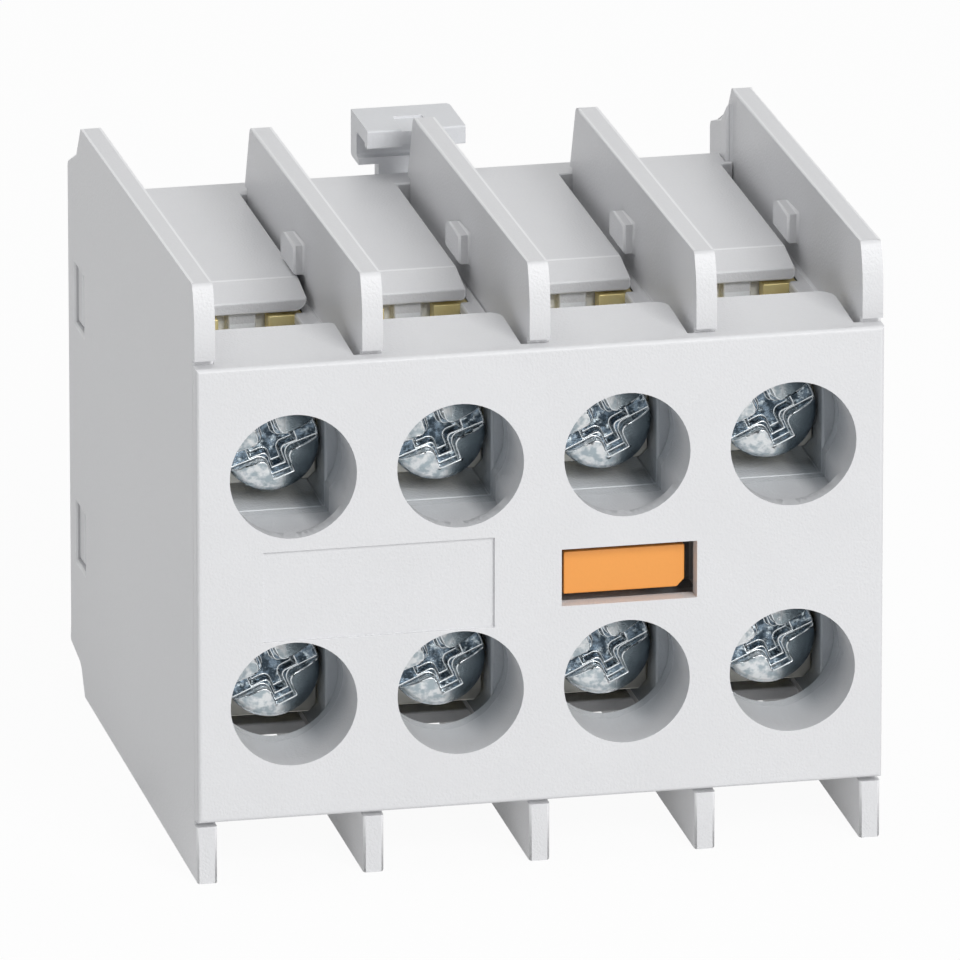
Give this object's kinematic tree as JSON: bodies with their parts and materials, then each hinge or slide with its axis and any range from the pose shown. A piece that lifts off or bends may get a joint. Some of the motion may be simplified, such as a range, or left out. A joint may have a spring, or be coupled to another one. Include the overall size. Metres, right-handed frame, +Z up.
{
  "type": "auxiliary contact block",
  "caption": "Front-mounted auxiliary contact block with screw terminals in round wells, partition plates, a release latch and an orange position indicator behind a window.",
  "frame": {"origin": "middle of the rear face that seats on the contactor, at the mid-height of the front face", "axes": "+X to the right across the poles, +Y from the front face towards the contactor, +Z up towards the release latch"},
  "size_m": [0.044, 0.0442, 0.0393],
  "materials": {
    "body_grey": "fine grain",
    "latch_grey": "fine grain",
    "carrier_dark": "smooth",
    "indicator_orange": "smooth",
    "brass": "stamped",
    "contact_silver": "dull",
    "spring_steel": "drawn wire",
    "zinc_plated_steel": "bright zinc plating"
  },
  "bodies": {
    "block": {"housing": "body_grey", "front_cover": "body_grey", "rear_cover": "body_grey", "latch_spring": "spring_steel", "return_spring_1": "spring_steel", "return_spring_2": "spring_steel", "terminal_upper_1": "brass", "terminal_upper_2": "brass", "terminal_upper_3": "brass", "terminal_upper_4": "brass", "terminal_lower_1": "brass", "terminal_lower_2": "brass", "terminal_lower_3": "brass", "terminal_lower_4": "brass", "fixed_tip_upper_1": "contact_silver", "fixed_tip_upper_2": "contact_silver", "fixed_tip_upper_3": "contact_silver", "fixed_tip_upper_4": "contact_silver", "fixed_tip_lower_1": "contact_silver", "fixed_tip_lower_2": "contact_silver", "fixed_tip_lower_3": "contact_silver", "fixed_tip_lower_4": "contact_silver"},
    "carrier": {"contact_carrier": "carrier_dark", "indicator": "indicator_orange", "contact_bridge_1": "brass", "bridge_tips_1": "contact_silver", "contact_spring_1": "spring_steel", "contact_bridge_2": "brass", "bridge_tips_2": "contact_silver", "contact_spring_2": "spring_steel", "contact_bridge_3": "brass", "bridge_tips_3": "contact_silver", "contact_spring_3": "spring_steel", "contact_bridge_4": "brass", "bridge_tips_4": "contact_silver", "contact_spring_4": "spring_steel"},
    "latch": {"release_latch": "latch_grey"},
    "clamp_upper_1": {"washer_upper_1": "zinc_plated_steel"},
    "screw_upper_1": {"screw_upper_1": "zinc_plated_steel"},
    "clamp_upper_2": {"washer_upper_2": "zinc_plated_steel"},
    "screw_upper_2": {"screw_upper_2": "zinc_plated_steel"},
    "clamp_upper_3": {"washer_upper_3": "zinc_plated_steel"},
    "screw_upper_3": {"screw_upper_3": "zinc_plated_steel"},
    "clamp_upper_4": {"washer_upper_4": "zinc_plated_steel"},
    "screw_upper_4": {"screw_upper_4": "zinc_plated_steel"},
    "clamp_lower_1": {"washer_lower_1": "zinc_plated_steel"},
    "screw_lower_1": {"screw_lower_1": "zinc_plated_steel"},
    "clamp_lower_2": {"washer_lower_2": "zinc_plated_steel"},
    "screw_lower_2": {"screw_lower_2": "zinc_plated_steel"},
    "clamp_lower_3": {"washer_lower_3": "zinc_plated_steel"},
    "screw_lower_3": {"screw_lower_3": "zinc_plated_steel"},
    "clamp_lower_4": {"washer_lower_4": "zinc_plated_steel"},
    "screw_lower_4": {"screw_lower_4": "zinc_plated_steel"}
  },
  "joints": [
    {"name": "carrier_stroke", "type": "slide", "parent": "block", "child": "carrier", "axis": [0, 1, 0], "range_m": [0, 0.0028], "stiffness_N_per_m": 200, "springref_m": -0.004, "deforming": ["return_spring_1", "return_spring_2"]},
    {"name": "latch_lift", "type": "slide", "parent": "block", "child": "latch", "axis": [0, 0, 1], "range_m": [0, 0.002], "stiffness_N_per_m": 300, "springref_m": -0.002, "deforming": ["latch_spring"]},
    {"name": "clamp_travel_upper_1", "type": "slide", "parent": "block", "child": "clamp_upper_1", "axis": [0, 1, 0], "range_m": [0, 0.006]},
    {"name": "screw_turn_upper_1", "type": "hinge", "parent": "clamp_upper_1", "child": "screw_upper_1", "pos_m": [-0.01586, -0.0358, 0.00747], "axis": [0, 1, 0], "range_deg": [0, 3600]},
    {"name": "clamp_travel_upper_2", "type": "slide", "parent": "block", "child": "clamp_upper_2", "axis": [0, 1, 0], "range_m": [0, 0.006]},
    {"name": "screw_turn_upper_2", "type": "hinge", "parent": "clamp_upper_2", "child": "screw_upper_2", "pos_m": [-0.00519, -0.0358, 0.00747], "axis": [0, 1, 0], "range_deg": [0, 3600]},
    {"name": "clamp_travel_upper_3", "type": "slide", "parent": "block", "child": "clamp_upper_3", "axis": [0, 1, 0], "range_m": [0, 0.006]},
    {"name": "screw_turn_upper_3", "type": "hinge", "parent": "clamp_upper_3", "child": "screw_upper_3", "pos_m": [0.00549, -0.0358, 0.00747], "axis": [0, 1, 0], "range_deg": [0, 3600]},
    {"name": "clamp_travel_upper_4", "type": "slide", "parent": "block", "child": "clamp_upper_4", "axis": [0, 1, 0], "range_m": [0, 0.006]},
    {"name": "screw_turn_upper_4", "type": "hinge", "parent": "clamp_upper_4", "child": "screw_upper_4", "pos_m": [0.01615, -0.0358, 0.00747], "axis": [0, 1, 0], "range_deg": [0, 3600]},
    {"name": "clamp_travel_lower_1", "type": "slide", "parent": "block", "child": "clamp_lower_1", "axis": [0, 1, 0], "range_m": [0, 0.006]},
    {"name": "screw_turn_lower_1", "type": "hinge", "parent": "clamp_lower_1", "child": "screw_lower_1", "pos_m": [-0.01586, -0.0358, -0.00747], "axis": [0, 1, 0], "range_deg": [0, 3600]},
    {"name": "clamp_travel_lower_2", "type": "slide", "parent": "block", "child": "clamp_lower_2", "axis": [0, 1, 0], "range_m": [0, 0.006]},
    {"name": "screw_turn_lower_2", "type": "hinge", "parent": "clamp_lower_2", "child": "screw_lower_2", "pos_m": [-0.00519, -0.0358, -0.00747], "axis": [0, 1, 0], "range_deg": [0, 3600]},
    {"name": "clamp_travel_lower_3", "type": "slide", "parent": "block", "child": "clamp_lower_3", "axis": [0, 1, 0], "range_m": [0, 0.006]},
    {"name": "screw_turn_lower_3", "type": "hinge", "parent": "clamp_lower_3", "child": "screw_lower_3", "pos_m": [0.00549, -0.0358, -0.00747], "axis": [0, 1, 0], "range_deg": [0, 3600]},
    {"name": "clamp_travel_lower_4", "type": "slide", "parent": "block", "child": "clamp_lower_4", "axis": [0, 1, 0], "range_m": [0, 0.006]},
    {"name": "screw_turn_lower_4", "type": "hinge", "parent": "clamp_lower_4", "child": "screw_lower_4", "pos_m": [0.01615, -0.0358, -0.00747], "axis": [0, 1, 0], "range_deg": [0, 3600]}
  ],
  "couplings": [
    {"joint": "screw_turn_upper_1", "follows": "clamp_travel_upper_1", "rad_per_m": 10471},
    {"joint": "screw_turn_upper_2", "follows": "clamp_travel_upper_2", "rad_per_m": 10471},
    {"joint": "screw_turn_upper_3", "follows": "clamp_travel_upper_3", "rad_per_m": 10471},
    {"joint": "screw_turn_upper_4", "follows": "clamp_travel_upper_4", "rad_per_m": 10471},
    {"joint": "screw_turn_lower_1", "follows": "clamp_travel_lower_1", "rad_per_m": 10471},
    {"joint": "screw_turn_lower_2", "follows": "clamp_travel_lower_2", "rad_per_m": 10471},
    {"joint": "screw_turn_lower_3", "follows": "clamp_travel_lower_3", "rad_per_m": 10471},
    {"joint": "screw_turn_lower_4", "follows": "clamp_travel_lower_4", "rad_per_m": 10471}
  ]
}
